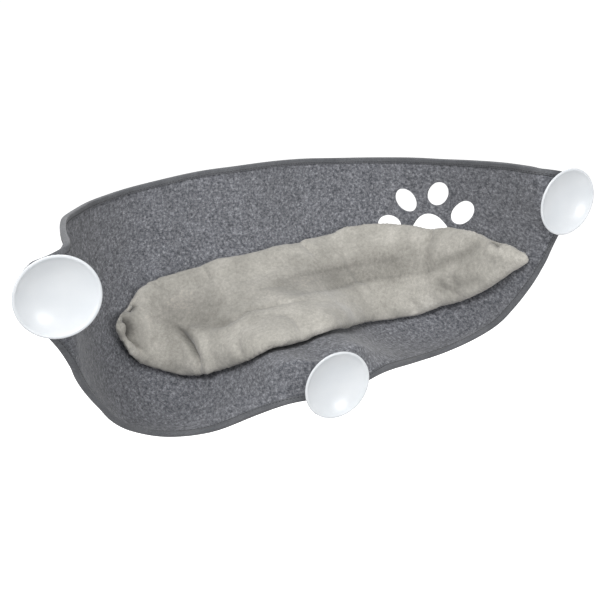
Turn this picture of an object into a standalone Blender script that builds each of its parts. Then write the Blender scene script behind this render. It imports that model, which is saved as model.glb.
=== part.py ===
"""Cat window hammock: a felt pouch hung on window glass by three suction cups, with a plush mat in it.

X runs along the glass, Y points from the glass into the room and Z is up.
The origin lies on the glass, midway between the two upper cups. Lengths are in metres.
"""
import math

import bmesh
import bpy
import numpy as np
from mathutils import Euler, Matrix, Vector
from mathutils.bvhtree import BVHTree

# Places of the suction cups on the glass
HALF_SPAN = 0.314
CUP_DROP = 0.172
LOWER_CUP_SHIFT = -0.015

# Suction cup: a soft dished disc with a solid neck
CUP_RADIUS = 0.0425
LIP_WIDTH = 0.003
LIP_THICKNESS = 0.0012
DISH_DEPTH = 0.0095
DISH_WALL = 0.0032
NECK_RADIUS = 0.011
NECK_FILLET = 0.004
NECK_END = 0.0226

# Threaded stud moulded into the neck
STUD_RADIUS = 0.004
STUD_CHAMFER = 0.0006
STUD_HEAD_RADIUS = 0.0075
STUD_HEAD_THICKNESS = 0.003
STUD_HEAD_FLOOR = 0.0155

# Fits
TOUCH_GAP = 0.0003
STUD_CLEARANCE = 0.0003
BAND_GAP = 0.0007
MAT_GAP = 0.0008
CUT_OVERRUN = 0.004
WELD = 0.00001

# Felt panel
FELT_THICKNESS = 0.0035
POUCH_REACH = 0.291
RIM_RISE = 0.028
LIP_BELOW_STUD = 0.0245
LEFT_SAG = 0.031
TAB_RADIUS = 0.034
LIP_ABOVE_STUD = 0.019
PRESS_FLAT = 0.0235
PRESS_FREE = 0.045

# Folded tape sewn round the panel's edge
BAND_WIDTH = 0.009
BAND_THICKNESS = 0.001

# Eyelet pressed into each stud hole
EYELET_FLANGE_RADIUS = 0.009
EYELET_FLANGE = 0.0008
EYELET_WALL = 0.0007

# Washer and screw knob on the room side
WASHER_RADIUS = 0.0105
WASHER_THICKNESS = 0.0015
KNOB_FLANGE_RADIUS = 0.0105
KNOB_FLANGE = 0.002
KNOB_WAIST_RADIUS = 0.009
KNOB_WAIST = 0.0035
KNOB_RADIUS = 0.0145
KNOB_ROUND = 0.0015
KNOB_HEIGHT = 0.015
KNOB_ROOF = 0.0028
KNOB_FLUTES = 6
KNOB_FLUTE_RADIUS = 0.006
KNOB_FLUTE_DEPTH = 0.0028

# Paw-shaped cut-outs in the wall
TOE_LENGTH = 0.040
TOE_WIDTH = 0.030
PAD_LENGTH = 0.050
PAD_WIDTH = 0.062
PAW_CUT_DEPTH = 0.05

# Plush mat
MAT_THICKNESS = 0.042
MAT_CREASE = 0.006

# Panel outline and cross-sections from the middle to the side of the pouch.
# Each row of the hung felt is a straight lip and then a curve, with the control points floor, wall and rim.
# A point is (share of HALF_SPAN, share of POUCH_REACH, share of the edge's or the rim's height).
EDGE_SHARES = (
    (0.000, 0.000, -1.000), (0.149, 0.000, -0.973), (0.284, 0.058, -0.978), (0.447, 0.145, -1.042),
    (0.616, 0.204, -1.077), (0.751, 0.182, -1.016), (0.839, 0.123, -0.897), (0.896, 0.079, -0.757),
    (0.931, 0.050, -0.649), (0.957, 0.027, -0.554),
)
FLOOR_SHARES = (
    (0.000, 0.000, -0.692), (0.149, 0.072, -0.692), (0.284, 0.291, -0.887), (0.447, 0.495, -1.125),
    (0.622, 0.525, -1.190), (0.771, 0.408, -1.146), (0.853, 0.276, -0.973), (0.907, 0.189, -0.735),
    (0.934, 0.131, -0.562), (0.947, 0.072, -0.389),
)
WALL_SHARES = (
    (0.000, 0.992, -1.341), (0.149, 0.992, -1.341), (0.311, 1.006, -1.254), (0.487, 0.977, -1.081),
    (0.663, 0.875, -0.952), (0.798, 0.700, -0.822), (0.880, 0.525, -0.606), (0.913, 0.349, -0.389),
    (0.927, 0.218, -0.216), (0.934, 0.087, -0.043),
)
RIM_SHARES = (
    (0.000, 0.970, 1.00), (0.162, 0.992, 0.94), (0.352, 0.999, 0.79), (0.528, 0.970, 0.64),
    (0.677, 0.853, 0.67), (0.785, 0.707, 0.76), (0.848, 0.576, 0.85), (0.886, 0.401, 1.06),
    (0.913, 0.218, 1.26), (0.928, 0.072, 1.36),
)
# The tab round the upper stud goes on from those rows, in shares of TAB_RADIUS from the stud.
TAB_EDGE_SHARES = (
    (-0.21, 0.07, -2.62), (0.04, 0.00, -1.87), (0.36, 0.00, -1.35), (0.66, 0.00, -0.93), (0.93, 0.00, -0.47),
)
TAB_RIM_SHARES = (
    (-0.39, 0.19, 1.05), (-0.04, 0.00, 1.00), (0.36, 0.00, 0.93), (0.66, 0.00, 0.75), (0.93, 0.00, 0.39),
)
TAB_LIP_SHARES = (0.15, 0.24, 0.33, 0.40, 0.42)
# How much of the lower cup's shift, and of the left side's extra sag, each row takes from the middle out.
SHIFT_SHARES = (1.0, 1.0, 0.6, 0.3, 0.0, 0.0, 0.0, 0.0, 0.0, 0.0)
SAG_SHARES = (0.0, 0.08, 0.60, 1.0, 0.80, 0.39, 0.14, 0.0, 0.0, 0.0)
LIP_SHARES = (1.0, 1.0, 0.70, 0.55, 0.50, 0.50, 0.50, 0.45, 0.40, 0.35)
SAG_OUTWARD_SHARE = 0.45
SAG_FLOOR_SHARE = 0.8
# Mesh lines across the right half, as places counted in rows from the middle, and cells along a row.
LINE_PLACES = (
    0.3, 1.0, 1.67, 2.33, 3.0, 3.67, 4.33, 5.0, 5.67, 6.33, 7.0, 8.0, 9.0, 10.0, 11.0, 12.0, 13.0, 14.0,
)
CELLS_ALONG = 7
LEFT_TURNED_STRIPS = (0, 4)
RIGHT_TURNED_STRIPS = (2, 6)
SLANT_SHARE = 0.85
SLOPE_STEP = 0.05

# Paw: each toe is (place in rows, share of the way up the row, lean in degrees); the pad likewise.
TOE_PLACE_SHARES = ((4.13, 0.812, 80.0), (4.58, 0.885, 38.0), (5.59, 0.892, -32.0), (6.30, 0.803, -75.0))
PAD_PLACE_SHARES = (5.17, 0.768, 0.0)
PAD_LOBE_SHARE = 0.10
UPWARD_SHARE = 0.02

# Mat outline: (place in rows, near edge, far edge) as shares of the way up the row.
MAT_SHARES = (
    (-4.40, 0.610, 0.680), (-4.05, 0.480, 0.730), (-3.20, 0.378, 0.775), (-2.20, 0.275, 0.800),
    (-0.80, 0.252, 0.815), (0.60, 0.310, 0.825), (2.00, 0.328, 0.830), (3.60, 0.345, 0.825),
    (4.80, 0.360, 0.810), (5.80, 0.365, 0.780), (6.60, 0.328, 0.720), (7.40, 0.270, 0.630),
    (8.10, 0.190, 0.480), (8.80, 0.185, 0.350),
)
MAT_CELLS = 10
MAT_SEAM_SHARE = 0.42
MAT_TIP_SHARE = 0.40
MAT_CREASE_SHARE = 0.15

TURN_STEPS = 28
SMALL_TURN_STEPS = 20
DISH_POINTS = 5

# Stack along each stud, as distances from the glass
FELT_NEAR = NECK_END + TOUCH_GAP + EYELET_FLANGE + TOUCH_GAP
FELT_PLANE = FELT_NEAR + FELT_THICKNESS / 2
FELT_FAR = FELT_NEAR + FELT_THICKNESS
WASHER_START = FELT_FAR + TOUCH_GAP + EYELET_FLANGE + TOUCH_GAP
KNOB_START = WASHER_START + WASHER_THICKNESS + TOUCH_GAP
KNOB_BORE_END = KNOB_START + KNOB_HEIGHT - KNOB_ROOF
STUD_END = KNOB_BORE_END - STUD_CLEARANCE
BORE_RADIUS = STUD_RADIUS + STUD_CLEARANCE
EYELET_RADIUS = BORE_RADIUS + EYELET_WALL

EDGE_DROP = CUP_DROP + LIP_BELOW_STUD
CUPS = {
    "left": (-HALF_SPAN, 0.0),
    "right": (HALF_SPAN, 0.0),
    "lower": (LOWER_CUP_SHIFT, -CUP_DROP),
}
ALONG_Y = Euler((-math.pi / 2, 0.0, 0.0))


def clear_scene():
    """Remove whatever the scene holds."""
    for obj in list(bpy.data.objects):
        bpy.data.objects.remove(obj, do_unlink=True)


def collection(name):
    """New collection linked to the scene."""
    made = bpy.data.collections.new(name)
    bpy.context.scene.collection.children.link(made)
    return made


def material(name, colour, roughness, metallic=0.0):
    """Plain surface with one colour."""
    made = bpy.data.materials.new(name)
    made.use_nodes = True
    shader = made.node_tree.nodes["Principled BSDF"]
    shader.inputs["Base Color"].default_value = (*colour, 1.0)
    shader.inputs["Roughness"].default_value = roughness
    shader.inputs["Metallic"].default_value = metallic
    return made


def add_object(name, mesh, group, surface=None):
    """Object for a mesh, in a collection, with its material."""
    obj = bpy.data.objects.new(name, mesh)
    group.objects.link(obj)
    if surface:
        mesh.materials.append(surface)
    return obj


def hide_cutter(obj):
    """Mark an object as a cutter only."""
    obj.hide_render = True
    obj.display_type = "WIRE"


def cut(obj, cutter):
    """Boolean difference that stays on the object."""
    step = obj.modifiers.new("cut " + cutter.name, "BOOLEAN")
    step.operation = "DIFFERENCE"
    step.solver = "EXACT"
    step.object = cutter


def turned(name, profile, closed, steps, group, surface, centre):
    """Body turned about the stud's axis; the profile is (radius, distance from the glass)."""
    mesh = bpy.data.meshes.new(name)
    points = [(radius, 0.0, height) for radius, height in profile]
    edges = [(index, index + 1) for index in range(len(points) - 1)]
    if closed:
        edges.append((len(points) - 1, 0))
    mesh.from_pydata(points, edges, [])
    obj = add_object(name, mesh, group, surface)
    obj.location = (centre[0], 0.0, centre[1])
    obj.rotation_euler = ALONG_Y
    screw = obj.modifiers.new("turn", "SCREW")
    screw.axis = "Z"
    screw.steps = steps
    screw.render_steps = steps
    screw.use_merge_vertices = True
    screw.merge_threshold = WELD
    screw.use_smooth_shade = False
    return obj


def ring_profile(inner, outer, low, high):
    """Closed rectangle of a turned ring, outer side first."""
    return [(outer, high), (outer, low), (inner, low), (inner, high)]


def cup_profile():
    """Dished disc with a neck, and a pocket that holds the stud's head."""
    head_top = STUD_HEAD_FLOOR + STUD_HEAD_THICKNESS
    pocket_radius = STUD_HEAD_RADIUS + STUD_CLEARANCE
    pocket = [
        (0.0, STUD_HEAD_FLOOR - STUD_CLEARANCE),
        (pocket_radius, STUD_HEAD_FLOOR - STUD_CLEARANCE),
        (pocket_radius, head_top + STUD_CLEARANCE),
        (BORE_RADIUS, head_top + STUD_CLEARANCE),
        (BORE_RADIUS, NECK_END),
        (NECK_RADIUS, NECK_END),
    ]
    crown = DISH_DEPTH + DISH_WALL
    shoulder_radius = NECK_RADIUS + NECK_FILLET

    def outside(radius):
        return LIP_THICKNESS + (crown - LIP_THICKNESS) * (1 - (radius / CUP_RADIUS) ** 2)

    pocket.append((NECK_RADIUS, outside(shoulder_radius) + NECK_FILLET))
    outer = []
    for index in range(DISH_POINTS):
        radius = shoulder_radius + (CUP_RADIUS - shoulder_radius) * index / (DISH_POINTS - 1)
        outer.append((radius, outside(radius)))
    dish_radius = CUP_RADIUS - LIP_WIDTH
    inner = []
    for index in range(DISH_POINTS + 1):
        radius = dish_radius * (1 - index / DISH_POINTS)
        inner.append((radius, DISH_DEPTH * (1 - (radius / dish_radius) ** 2)))
    return pocket + outer + [(CUP_RADIUS, 0.0)] + inner


def stud_profile():
    """Headed stud that runs from the neck's pocket into the knob."""
    head_top = STUD_HEAD_FLOOR + STUD_HEAD_THICKNESS
    return [
        (0.0, STUD_END),
        (STUD_RADIUS - STUD_CHAMFER, STUD_END),
        (STUD_RADIUS, STUD_END - STUD_CHAMFER),
        (STUD_RADIUS, head_top),
        (STUD_HEAD_RADIUS, head_top),
        (STUD_HEAD_RADIUS, STUD_HEAD_FLOOR),
        (0.0, STUD_HEAD_FLOOR),
    ]


def eyelet_profile():
    """Barrel through the felt with a flange on each face of it."""
    near_out = FELT_NEAR - TOUCH_GAP - EYELET_FLANGE
    far_out = FELT_FAR + TOUCH_GAP + EYELET_FLANGE
    return [
        (EYELET_FLANGE_RADIUS, far_out),
        (EYELET_FLANGE_RADIUS, FELT_FAR + TOUCH_GAP),
        (EYELET_RADIUS, FELT_FAR + TOUCH_GAP),
        (EYELET_RADIUS, FELT_NEAR - TOUCH_GAP),
        (EYELET_FLANGE_RADIUS, FELT_NEAR - TOUCH_GAP),
        (EYELET_FLANGE_RADIUS, near_out),
        (BORE_RADIUS, near_out),
        (BORE_RADIUS, far_out),
    ]


def knob_profile():
    """Knob with a flange, a waist, a grip and a blind bore for the stud."""
    top = KNOB_START + KNOB_HEIGHT
    grip_start = KNOB_START + KNOB_WAIST + KNOB_ROUND
    return [
        (0.0, top),
        (KNOB_RADIUS - 2 * KNOB_ROUND, top),
        (KNOB_RADIUS, top - KNOB_ROUND),
        (KNOB_RADIUS, grip_start),
        (KNOB_RADIUS - KNOB_ROUND, KNOB_START + KNOB_WAIST),
        (KNOB_WAIST_RADIUS, KNOB_START + KNOB_WAIST),
        (KNOB_WAIST_RADIUS, KNOB_START + KNOB_FLANGE),
        (KNOB_FLANGE_RADIUS, KNOB_START + KNOB_FLANGE),
        (KNOB_FLANGE_RADIUS, KNOB_START),
        (BORE_RADIUS, KNOB_START),
        (BORE_RADIUS, KNOB_BORE_END),
        (0.0, KNOB_BORE_END),
    ]


def flute_cutter(name, centre, group):
    """Ring of round bars that cut the finger flutes into a knob's grip."""
    shape = bmesh.new()
    start = KNOB_START + KNOB_FLANGE
    end = KNOB_START + KNOB_HEIGHT + CUT_OVERRUN
    ring = KNOB_RADIUS + KNOB_FLUTE_RADIUS - KNOB_FLUTE_DEPTH
    for index in range(KNOB_FLUTES):
        turn = 2 * math.pi * index / KNOB_FLUTES
        place = Matrix.Translation((ring * math.cos(turn), ring * math.sin(turn), (start + end) / 2))
        bmesh.ops.create_cone(shape, cap_ends=True, segments=12, radius1=KNOB_FLUTE_RADIUS,
                              radius2=KNOB_FLUTE_RADIUS, depth=end - start, matrix=place)
    mesh = bpy.data.meshes.new(name)
    shape.to_mesh(mesh)
    shape.free()
    obj = add_object(name, mesh, group)
    obj.location = (centre[0], 0.0, centre[1])
    obj.rotation_euler = ALONG_Y
    hide_cutter(obj)
    return obj


def control_rows():
    """Rows of control points (edge, lip, floor, wall, rim) from the left tab to the right tab."""
    heights = (EDGE_DROP, EDGE_DROP, EDGE_DROP, RIM_RISE)
    tables = (EDGE_SHARES, FLOOR_SHARES, WALL_SHARES, RIM_SHARES)
    half = []
    for index in range(len(EDGE_SHARES)):
        row = [(x * HALF_SPAN, FELT_PLANE + y * POUCH_REACH, z * height)
               for (x, y, z), height in zip((table[index] for table in tables), heights)]
        half.append(np.array(row))
    left = [row * (-1.0, 1.0, 1.0) for row in half]
    for index, (shift, sag) in enumerate(zip(SHIFT_SHARES, SAG_SHARES)):
        drop = LEFT_SAG * sag * np.array((0.0, SAG_OUTWARD_SHARE, -1.0))
        left[index][0] += drop
        left[index][1] += drop * SAG_FLOOR_SHARE
        for side in (half, left):
            side[index][0][0] += LOWER_CUP_SHIFT * shift
            side[index][1][0] += LOWER_CUP_SHIFT * shift
    half = [with_lip(row, share) for row, share in zip(half, LIP_SHARES)]
    left = [with_lip(row, share) for row, share in zip(left, LIP_SHARES)]
    for low, high, share in zip(TAB_EDGE_SHARES, TAB_RIM_SHARES, TAB_LIP_SHARES):
        stud = np.array((HALF_SPAN, FELT_PLANE, 0.0))
        start = stud + TAB_RADIUS * np.array(low)
        end = stud + TAB_RADIUS * np.array(high)
        lip = start + (end - start) * share
        row = np.array([start, lip, lip + (end - lip) / 3, end - (end - lip) / 3, end])
        half.append(row)
        left.append(row * (-1.0, 1.0, 1.0))
    return left[:0:-1] + half


def with_lip(row, share):
    """Row with the end of its straight lip put in after the lower edge."""
    run = row[1] - row[0]
    length = (LIP_BELOW_STUD + LIP_ABOVE_STUD) * share
    return np.insert(row, 1, row[0] + run / np.linalg.norm(run) * length, axis=0)


def row_at(rows, place):
    """Control row at a place between two rows, on a smooth curve through them all."""
    last = len(rows) - 1
    place = min(max(place, 0), last)
    low = min(int(math.floor(place)), last - 1)
    part = place - low
    before, here, after, beyond = (rows[min(max(low + step, 0), last)] for step in (-1, 0, 1, 2))
    return 0.5 * (2 * here + (after - before) * part
                  + (2 * before - 5 * here + 4 * after - beyond) * part ** 2
                  + (3 * here - before - 3 * after + beyond) * part ** 3)


def point_on_row(row, share):
    """Point a share of the way along a row's curve from its lip to the rim."""
    rest = 1 - share
    return (rest ** 3 * row[1] + 3 * share * rest ** 2 * row[2]
            + 3 * share ** 2 * rest * row[3] + share ** 3 * row[4])


def band_length(start, edge_run):
    """Length along a row that the folded tape covers, where the row leaves its edge at a slant."""
    slant = np.linalg.norm(np.cross(start, edge_run)) / (np.linalg.norm(start) * np.linalg.norm(edge_run))
    return BAND_WIDTH / max(slant, SLANT_SHARE)


def pressed(point):
    """The felt lies flat on each cup's neck and comes free of it further out."""
    for x, z in CUPS.values():
        away = math.dist(point, (x, FELT_PLANE, z))
        share = min(max((away - PRESS_FLAT) / (PRESS_FREE - PRESS_FLAT), 0.0), 1.0)
        share = share * share * (3 - 2 * share)
        point[1] = FELT_PLANE + (point[1] - FELT_PLANE) * share
    return point


class FeltSheet:
    """Middle surface of the hung felt as a grid of points: places across it, shares along each row.

    A share runs from -1 at the lower edge to 0 at the lip's end and 1 at the rim.
    """

    def __init__(self):
        rows = control_rows()
        middle = len(rows) // 2
        self.places = [-place for place in reversed(LINE_PLACES)] + [0.0] + list(LINE_PLACES)
        self.shares = []
        points = []
        for place in self.places:
            row = row_at(rows, middle + place)
            edge_run = row_at(rows, middle + place + SLOPE_STEP) - row_at(rows, middle + place - SLOPE_STEP)
            lip_run = row[1] - row[0]
            lip_length = np.linalg.norm(lip_run)
            band = band_length(lip_run, edge_run[0]) / lip_length
            last = 1 - band_length(row[4] - row[3], edge_run[4]) / (3 * np.linalg.norm(row[4] - row[3]))
            inner = [last * index / CELLS_ALONG for index in range(CELLS_ALONG + 1)]
            self.shares.append([-1.0, band - 1.0] + inner + [1.0])
            line = [row[0], row[0] + lip_run * band]
            line += [point_on_row(row, share) for share in inner + [1.0]]
            points.append([pressed(point) for point in line])
        self.points = np.array(points)
        self.across, self.along = self.points.shape[:2]
        self.mesh = self.make_mesh()
        normals = [tuple(vertex.normal) for vertex in self.mesh.vertices]
        self.normals = np.array(normals).reshape(self.points.shape)
        corners = [vertex.co for vertex in self.mesh.vertices]
        self.facets = BVHTree.FromPolygons(corners, [face.vertices for face in self.mesh.polygons])

    def vertex(self, line, step):
        """Number of a grid point in the mesh."""
        return line * self.along + step

    def on_right(self, line):
        """Whether the cells after a mesh line are in the right half, where the diagonals are mirrored."""
        return line >= self.across // 2

    def make_mesh(self):
        """Triangles between the grid points, facing into the pouch."""
        faces = []
        for line in range(self.across - 1):
            for step in range(self.along - 1):
                here = self.vertex(line, step)
                beside = self.vertex(line + 1, step)
                if self.on_right(line):
                    faces.append((here, beside, here + 1))
                    faces.append((beside, beside + 1, here + 1))
                else:
                    faces.append((here, beside, beside + 1))
                    faces.append((here, beside + 1, here + 1))
        mesh = bpy.data.meshes.new("felt_panel")
        mesh.from_pydata([tuple(point) for point in self.points.reshape(-1, 3)], [], faces)
        mesh.update()
        return mesh

    def edge_loop(self):
        """Grid points round the panel's edge, in order, as (line, step)."""
        last_line = self.across - 1
        last_step = self.along - 1
        lower = [(line, 0) for line in range(self.across)]
        right = [(last_line, step) for step in range(1, last_step)]
        rim = [(line, last_step) for line in range(last_line, -1, -1)]
        left = [(0, step) for step in range(last_step - 1, 0, -1)]
        return lower + right + rim + left

    def on_line(self, line, share):
        """Point and normal on one mesh line, a share of the way along its row."""
        shares = self.shares[line]
        point = [np.interp(share, shares, self.points[line, :, axis]) for axis in range(3)]
        normal = [np.interp(share, shares, self.normals[line, :, axis]) for axis in range(3)]
        return np.array(point), np.array(normal)

    def at(self, place, share):
        """Point and unit normal on the faceted sheet at a place and a share along its row."""
        line = min(max(int(np.searchsorted(self.places, place)) - 1, 0), self.across - 2)
        low, high = self.places[line], self.places[line + 1]
        part = (place - low) / (high - low)
        near_point, near_normal = self.on_line(line, share)
        far_point, far_normal = self.on_line(line + 1, share)
        normal = near_normal * (1 - part) + far_normal * part
        point = self.facets.find_nearest(Vector(near_point * (1 - part) + far_point * part))[0]
        return np.array(point), normal / np.linalg.norm(normal)


def surface_turn(sheet, place, share, lean):
    """Place and turn of a cutter that stands square to the felt, leaning sideways on it."""
    point, normal = sheet.at(place, share)
    upward = sheet.at(place, share + UPWARD_SHARE)[0] - sheet.at(place, share - UPWARD_SHARE)[0]
    inward = Vector(normal)
    sideways = Vector(upward).cross(inward).normalized()
    upright = inward.cross(sideways)
    turn = Matrix((sideways, upright, inward)).transposed().to_4x4()
    return Matrix.Translation(point) @ turn @ Matrix.Rotation(math.radians(lean), 4, "Z")


def paw_cutter(name, sheet, place, length, width, lobes, group):
    """Oval bar that cuts one toe of the paw, or with lobes the pad under the toes."""
    shape = bmesh.new()
    bmesh.ops.create_cone(shape, cap_ends=True, segments=16, radius1=1.0, radius2=1.0, depth=PAW_CUT_DEPTH)
    for vertex in shape.verts:
        around = math.atan2(vertex.co.y, vertex.co.x)
        swell = 1 - lobes * math.sin(3 * around)
        vertex.co.x *= swell * width / 2
        vertex.co.y *= swell * length / 2
    mesh = bpy.data.meshes.new(name)
    shape.to_mesh(mesh)
    shape.free()
    obj = add_object(name, mesh, group)
    obj.matrix_world = surface_turn(sheet, *place)
    hide_cutter(obj)
    return obj


def stud_hole_cutter(name, centre, group):
    """Round bar that cuts the hole for one eyelet."""
    shape = bmesh.new()
    radius = EYELET_RADIUS + TOUCH_GAP
    place = Matrix.Translation((0.0, 0.0, FELT_PLANE))
    bmesh.ops.create_cone(shape, cap_ends=True, segments=SMALL_TURN_STEPS, radius1=radius, radius2=radius,
                          depth=FELT_THICKNESS + 2 * CUT_OVERRUN, matrix=place)
    mesh = bpy.data.meshes.new(name)
    shape.to_mesh(mesh)
    shape.free()
    obj = add_object(name, mesh, group)
    obj.location = (centre[0], 0.0, centre[1])
    obj.rotation_euler = ALONG_Y
    hide_cutter(obj)
    return obj


def make_felt_panel(sheet, group, cutters, surface):
    """Stiff felt with its thickness, the stud holes and the paw-shaped cut-outs."""
    panel = add_object("felt_panel", sheet.mesh, group, surface)
    wall = panel.modifiers.new("thickness", "SOLIDIFY")
    wall.thickness = FELT_THICKNESS
    wall.offset = 0.0
    wall.use_even_offset = True
    for name, centre in CUPS.items():
        cut(panel, stud_hole_cutter("cutter_" + name + "_hole", centre, cutters))
    for index, place in enumerate(TOE_PLACE_SHARES):
        name = "cutter_toe_" + str(index + 1)
        cut(panel, paw_cutter(name, sheet, place, TOE_LENGTH, TOE_WIDTH, 0.0, cutters))
    pad = paw_cutter("cutter_pad", sheet, PAD_PLACE_SHARES, PAD_LENGTH, PAD_WIDTH, PAD_LOBE_SHARE, cutters)
    cut(panel, pad)
    return panel


def loft(name, sections, closed, group, surface, turned_strips):
    """Solid through rings of points, in triangles; a closed loft joins its last ring to its first.

    The strips named for a ring have their diagonals turned between it and the ring that follows.
    """
    shape = bmesh.new()
    rings = [[shape.verts.new(point) for point in section] for section in sections]
    count = len(rings[0])
    following_rings = rings[1:] + rings[:1] if closed else rings[1:]
    for ring, following, turned_here in zip(rings, following_rings, turned_strips):
        for index in range(count):
            beyond = (index + 1) % count
            corners = (ring[index], following[index], following[beyond], ring[beyond])
            if index in turned_here:
                corners = corners[1:] + corners[:1]
            shape.faces.new((corners[0], corners[1], corners[2]))
            shape.faces.new((corners[0], corners[2], corners[3]))
    if not closed:
        shape.faces.new(list(reversed(rings[0])))
        shape.faces.new(rings[-1])
    bmesh.ops.remove_doubles(shape, verts=shape.verts, dist=WELD)
    bmesh.ops.recalc_face_normals(shape, faces=shape.faces)
    mesh = bpy.data.meshes.new(name)
    shape.to_mesh(mesh)
    shape.free()
    return add_object(name, mesh, group, surface)


def make_binding(sheet, group, surface):
    """Tape folded over the felt's edge all the way round, along the felt's outer cells."""
    inside = FELT_THICKNESS / 2 + BAND_GAP
    outside = inside + BAND_THICKNESS
    edge = sheet.edge_loop()
    sections, turned_strips = [], []
    for index, (line, step) in enumerate(edge):
        following = edge[(index + 1) % len(edge)]
        right = sheet.on_right(min(line, following[0]))
        turned_strips.append(RIGHT_TURNED_STRIPS if right else LEFT_TURNED_STRIPS)
        inner = (min(max(line, 1), sheet.across - 2), min(max(step, 1), sheet.along - 2))
        land, land_normal = sheet.points[inner], sheet.normals[inner]
        point, normal = sheet.points[line, step], sheet.normals[line, step]
        tangent = sheet.points[following] - sheet.points[edge[index - 1]]
        outward = np.cross(tangent, normal) / np.linalg.norm(tangent)
        hollow = point + outward * BAND_GAP
        fold = hollow + outward * BAND_THICKNESS
        sections.append([
            land + land_normal * outside, fold + normal * outside,
            fold - normal * outside, land - land_normal * outside,
            land - land_normal * inside, hollow - normal * inside,
            hollow + normal * inside, land + land_normal * inside,
        ])
    return loft("edge_binding", sections, True, group, surface, turned_strips)


def mat_edges(place):
    """Near and far edge of the mat at a place, as shares along the row."""
    places = [row[0] for row in MAT_SHARES]
    near = np.interp(place, places, [row[1] for row in MAT_SHARES])
    far = np.interp(place, places, [row[2] for row in MAT_SHARES])
    return near, far


def make_mat(sheet, group, surface):
    """Plush mat that follows the felt's floor and wall, crowned, with drawn-in sides and a crease."""
    first, last = MAT_SHARES[0][0], MAT_SHARES[-1][0]
    places = [first, MAT_SHARES[1][0]]
    places += [place for place in sheet.places if MAT_SHARES[1][0] < place < last]
    places += [last]
    base = FELT_THICKNESS / 2 + MAT_GAP
    sections = []
    for place in places:
        near, far = mat_edges(place)
        along = 2 * (place - first) / (last - first) - 1
        height = MAT_THICKNESS * (MAT_TIP_SHARE + (1 - MAT_TIP_SHARE) * (1 - along ** 4))
        lower, upper = [], []
        for index in range(MAT_CELLS + 1):
            across = 2 * index / MAT_CELLS - 1
            point, normal = sheet.at(place, near + (far - near) * index / MAT_CELLS)
            tuck = height * MAT_SEAM_SHARE * across ** 6
            crown = tuck + height * (1 - MAT_SEAM_SHARE * across ** 6 - (1 - MAT_SEAM_SHARE) * across ** 4)
            crown -= MAT_CREASE * math.exp(-(across / MAT_CREASE_SHARE) ** 2) * (1 - along ** 4)
            lower.append(point + normal * (base + tuck))
            upper.append(point + normal * (base + crown))
        sections.append(lower + upper[-2:0:-1])
    return loft("cushion_mat", sections, False, group, surface, [()] * len(sections))


def make_cup(name, centre, group, cutters, surfaces):
    """One suction cup with its stud, eyelet, washer and screw knob."""
    turned(name + "_suction_cup", cup_profile(), False, TURN_STEPS, group, surfaces["cup"], centre)
    turned(name + "_threaded_stud", stud_profile(), False, SMALL_TURN_STEPS, group, surfaces["stud"], centre)
    turned(name + "_eyelet", eyelet_profile(), True, SMALL_TURN_STEPS, group, surfaces["eyelet"], centre)
    washer = ring_profile(BORE_RADIUS, WASHER_RADIUS, WASHER_START, WASHER_START + WASHER_THICKNESS)
    turned(name + "_washer", washer, True, SMALL_TURN_STEPS, group, surfaces["washer"], centre)
    knob = turned(name + "_screw_knob", knob_profile(), False, TURN_STEPS, group, surfaces["knob"], centre)
    cut(knob, flute_cutter("cutter_" + name + "_flutes", centre, cutters))


def main():
    """Build the whole hammock."""
    clear_scene()
    group = collection("cat_window_hammock")
    cutters = collection("cutters")
    surfaces = {
        "cup": material("white_vinyl", (0.82, 0.84, 0.86), 0.25),
        "stud": material("zinc_steel", (0.55, 0.56, 0.58), 0.35, 1.0),
        "eyelet": material("nickel_eyelet", (0.60, 0.60, 0.61), 0.30, 1.0),
        "washer": material("grey_washer", (0.30, 0.31, 0.33), 0.45),
        "knob": material("white_knob", (0.78, 0.80, 0.82), 0.40),
    }
    sheet = FeltSheet()
    make_felt_panel(sheet, group, cutters, material("grey_felt", (0.156, 0.165, 0.182), 0.95))
    make_binding(sheet, group, material("binding_tape", (0.10, 0.105, 0.115), 0.90))
    make_mat(sheet, group, material("taupe_plush", (0.39, 0.38, 0.345), 0.95))
    for name, centre in CUPS.items():
        make_cup(name, centre, group, cutters, surfaces)


main()
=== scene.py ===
"""Looks of the cat window hammock: a felt pouch on three suction cups with a plush mat in it.

X runs along the window glass, Y points from the glass into the room and Z is up. Lengths are in metres.
"""
import math

import bmesh
import bpy
import numpy as np
from mathutils import Matrix, Vector
from mathutils import noise as mathutils_noise
from mathutils.bvhtree import BVHTree
from mathutils.kdtree import KDTree


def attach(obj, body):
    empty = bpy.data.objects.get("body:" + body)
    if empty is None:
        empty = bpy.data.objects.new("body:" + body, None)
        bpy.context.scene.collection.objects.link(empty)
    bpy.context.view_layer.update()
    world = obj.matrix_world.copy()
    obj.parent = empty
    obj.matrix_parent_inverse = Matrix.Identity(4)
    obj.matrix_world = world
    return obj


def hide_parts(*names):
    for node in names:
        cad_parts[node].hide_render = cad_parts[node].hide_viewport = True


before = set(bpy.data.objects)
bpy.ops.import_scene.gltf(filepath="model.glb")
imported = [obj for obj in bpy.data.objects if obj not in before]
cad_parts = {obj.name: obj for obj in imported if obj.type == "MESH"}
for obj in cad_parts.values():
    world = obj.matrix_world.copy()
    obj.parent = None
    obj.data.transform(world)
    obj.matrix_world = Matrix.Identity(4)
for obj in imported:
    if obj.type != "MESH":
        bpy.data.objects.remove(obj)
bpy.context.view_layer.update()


# Felt panel
# One sheet of pressed heather-grey felt, 3.5 mm thick, die cut with three stud holes and the figure of a paw.
# Hung on the studs it makes a pouch with two lobes along its lower edge and a level rim.
half_span = 0.314
cup_drop = 0.172
lower_cup_shift = -0.015
felt_thickness = 0.0035
felt_plane = 0.02575
pouch_reach = 0.291
rim_rise = 0.028
edge_drop = cup_drop + 0.0245
left_sag = 0.031
tab_radius = 0.034
lip_length = 0.0435
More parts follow.
